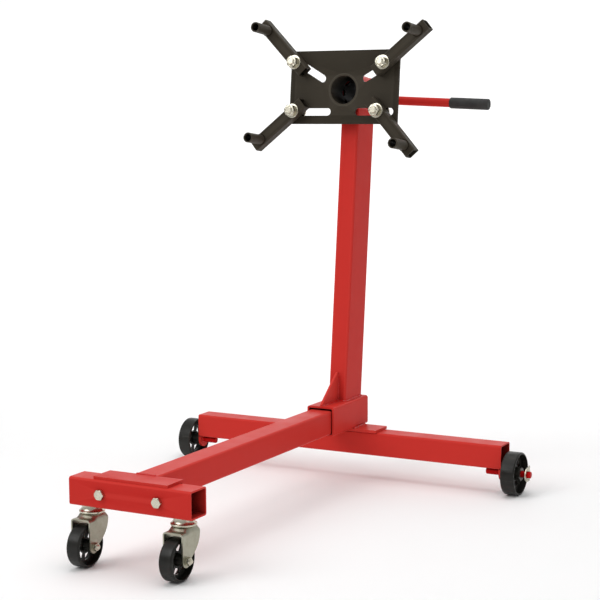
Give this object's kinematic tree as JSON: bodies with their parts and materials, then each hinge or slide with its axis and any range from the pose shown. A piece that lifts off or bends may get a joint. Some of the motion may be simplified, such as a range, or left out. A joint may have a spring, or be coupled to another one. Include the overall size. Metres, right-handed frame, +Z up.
{
  "type": "engine stand",
  "caption": "Rolling engine stand: crossed square tubes on wheels, a leaning column, and a turning head plate with adjustable arms and a handle bar.",
  "frame": {"origin": "on the floor under the middle of the whole stand, at rest", "axes": "+X to the right seen from the front, +Y from the mounting face back to the column, +Z up"},
  "size_m": [0.849, 1.0217, 0.9815],
  "materials": {
    "red_paint": "gloss",
    "black_paint": "semi-gloss",
    "zinc": "bright zinc",
    "fork_zinc": "bright zinc",
    "caster_black": "satin",
    "wheel_black": "satin",
    "grip_rubber": "matte"
  },
  "bodies": {
    "stand": {"front_cross_tube": "red_paint", "cross_tube_bolts": "zinc", "cross_tube_washers": "zinc", "cross_tube_nuts": "zinc", "beam_end_angle": "red_paint", "main_beam": "red_paint", "beam_socket": "red_paint", "beam_lock_bolts": "zinc", "beam_lock_nuts": "zinc", "socket_base_plate": "red_paint", "rear_cross_tube": "red_paint", "column": "red_paint", "column_gusset": "red_paint", "head_collar": "red_paint", "lock_pin_bush": "red_paint", "axle_ears": "red_paint", "rear_axles": "red_paint", "axle_washers": "zinc", "axle_cotter_pins": "zinc", "caster_top_races": "zinc", "caster_stems": "zinc", "caster_stem_nuts": "zinc"},
    "head": {"mounting_plate": "black_paint", "head_tube": "black_paint"},
    "handle": {"handle_bar": "red_paint", "handle_grip": "grip_rubber"},
    "lock_pin": {"lock_pin": "zinc", "lock_pin_ring": "zinc"},
    "arm_clamp_upper_left": {"arm_bolt_upper_left": "zinc", "arm_nut_upper_left": "zinc", "arm_washers_upper_left": "zinc"},
    "arm_upper_left": {"arm_upper_left": "black_paint", "arm_socket_upper_left": "black_paint"},
    "arm_clamp_upper_right": {"arm_bolt_upper_right": "zinc", "arm_nut_upper_right": "zinc", "arm_washers_upper_right": "zinc"},
    "arm_upper_right": {"arm_upper_right": "black_paint", "arm_socket_upper_right": "black_paint"},
    "arm_clamp_lower_left": {"arm_bolt_lower_left": "zinc", "arm_nut_lower_left": "zinc", "arm_washers_lower_left": "zinc"},
    "arm_lower_left": {"arm_lower_left": "black_paint", "arm_socket_lower_left": "black_paint"},
    "arm_clamp_lower_right": {"arm_bolt_lower_right": "zinc", "arm_nut_lower_right": "zinc", "arm_washers_lower_right": "zinc"},
    "arm_lower_right": {"arm_lower_right": "black_paint", "arm_socket_lower_right": "black_paint"},
    "caster_left": {"caster_fork_left": "fork_zinc", "caster_sleeve_left": "zinc", "caster_bolt_left": "zinc", "caster_nut_left": "zinc"},
    "caster_roller_left": {"caster_wheel_left": "caster_black"},
    "wheel_left": {"rear_wheel_left": "wheel_black"},
    "caster_right": {"caster_fork_right": "fork_zinc", "caster_sleeve_right": "zinc", "caster_bolt_right": "zinc", "caster_nut_right": "zinc"},
    "caster_roller_right": {"caster_wheel_right": "caster_black"},
    "wheel_right": {"rear_wheel_right": "wheel_black"}
  },
  "joints": [
    {"name": "head_turn", "type": "hinge", "parent": "stand", "child": "head", "pos_m": [0, 0.34232, 0.8305], "axis": [0, -0.9945, 0.1045], "continuous": true},
    {"name": "handle_slide", "type": "slide", "parent": "head", "child": "handle", "axis": [0.999, -0.0047, -0.0451], "range_m": [-0.145, 0.02]},
    {"name": "lock_pin_slide", "type": "slide", "parent": "stand", "child": "lock_pin", "axis": [0, 0.1045, 0.9945], "range_m": [-0.012, 0]},
    {"name": "arm_slide_upper_left", "type": "slide", "parent": "head", "child": "arm_clamp_upper_left", "axis": [-0.866, 0.0523, 0.4973], "range_m": [-0.065, 0.003]},
    {"name": "arm_swing_upper_left", "type": "hinge", "parent": "arm_clamp_upper_left", "child": "arm_upper_left", "pos_m": [-0.10679, 0.34822, 0.88669], "axis": [0, -0.9945, 0.1045], "range_deg": [-45, 45]},
    {"name": "arm_slide_upper_right", "type": "slide", "parent": "head", "child": "arm_clamp_upper_right", "axis": [0.866, 0.0523, 0.4973], "range_m": [-0.0585, 0.0095]},
    {"name": "arm_swing_upper_right", "type": "hinge", "parent": "arm_clamp_upper_right", "child": "arm_upper_right", "pos_m": [0.10116, 0.34788, 0.88346], "axis": [0, -0.9945, 0.1045], "range_deg": [-45, 45]},
    {"name": "arm_slide_lower_left", "type": "slide", "parent": "head", "child": "arm_clamp_lower_left", "axis": [-1, 0, 0], "range_m": [-0.071, 0.003]},
    {"name": "arm_swing_lower_left", "type": "hinge", "parent": "arm_clamp_lower_left", "child": "arm_lower_left", "pos_m": [-0.107, 0.33747, 0.78435], "axis": [0, -0.9945, 0.1045], "range_deg": [-45, 45]},
    {"name": "arm_slide_lower_right", "type": "slide", "parent": "head", "child": "arm_clamp_lower_right", "axis": [1, 0, 0], "range_m": [-0.055, 0.019]},
    {"name": "arm_swing_lower_right", "type": "hinge", "parent": "arm_clamp_lower_right", "child": "arm_lower_right", "pos_m": [0.091, 0.33747, 0.78435], "axis": [0, -0.9945, 0.1045], "range_deg": [-45, 45]},
    {"name": "caster_swivel_left", "type": "hinge", "parent": "stand", "child": "caster_left", "pos_m": [-0.095, -0.44986, 0.0835], "axis": [0, 0, 1], "continuous": true},
    {"name": "caster_spin_left", "type": "hinge", "parent": "caster_left", "child": "caster_roller_left", "pos_m": [-0.095, -0.47286, 0.038], "axis": [1, 0, 0], "continuous": true},
    {"name": "wheel_spin_left", "type": "hinge", "parent": "stand", "child": "wheel_left", "pos_m": [-0.388, 0.35014, 0.0445], "axis": [1, 0, 0], "continuous": true},
    {"name": "caster_swivel_right", "type": "hinge", "parent": "stand", "child": "caster_right", "pos_m": [0.095, -0.44986, 0.0835], "axis": [0, 0, 1], "continuous": true},
    {"name": "caster_spin_right", "type": "hinge", "parent": "caster_right", "child": "caster_roller_right", "pos_m": [0.095, -0.47286, 0.038], "axis": [1, 0, 0], "continuous": true},
    {"name": "wheel_spin_right", "type": "hinge", "parent": "stand", "child": "wheel_right", "pos_m": [0.388, 0.35014, 0.0445], "axis": [1, 0, 0], "continuous": true}
  ]
}
